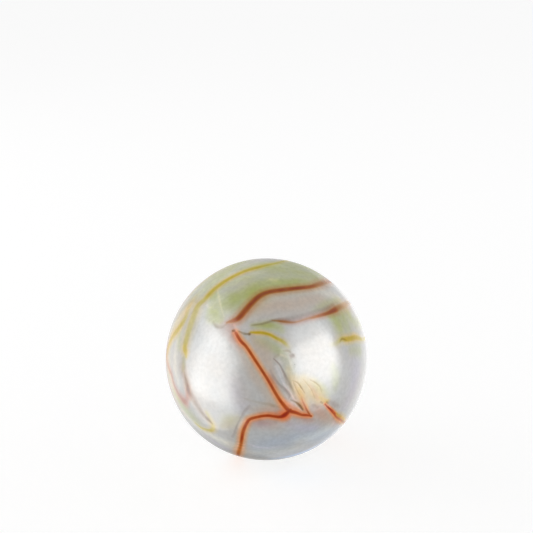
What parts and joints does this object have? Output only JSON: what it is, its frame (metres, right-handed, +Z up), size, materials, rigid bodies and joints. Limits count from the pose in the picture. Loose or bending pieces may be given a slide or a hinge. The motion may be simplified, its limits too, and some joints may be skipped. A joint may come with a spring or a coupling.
{
  "type": "glass marble",
  "caption": "Playing marble: a true ball of opaque pearly white glass with thin orange, yellow and pale green streaks drawn through its surface.",
  "frame": {"origin": "the centre of the ball", "axes": "+Z up, -Y towards the side with the straight orange vein, +X to its right"},
  "size_m": [0.016, 0.016, 0.016],
  "materials": {
    "pearl_glass": "opaque milk-white glass with a soft pearl lustre; orange, yellow, pale green, cream and grey streaks fused in flush"
  },
  "bodies": {
    "root": {"marble": "pearl_glass"}
  },
  "joints": []
}
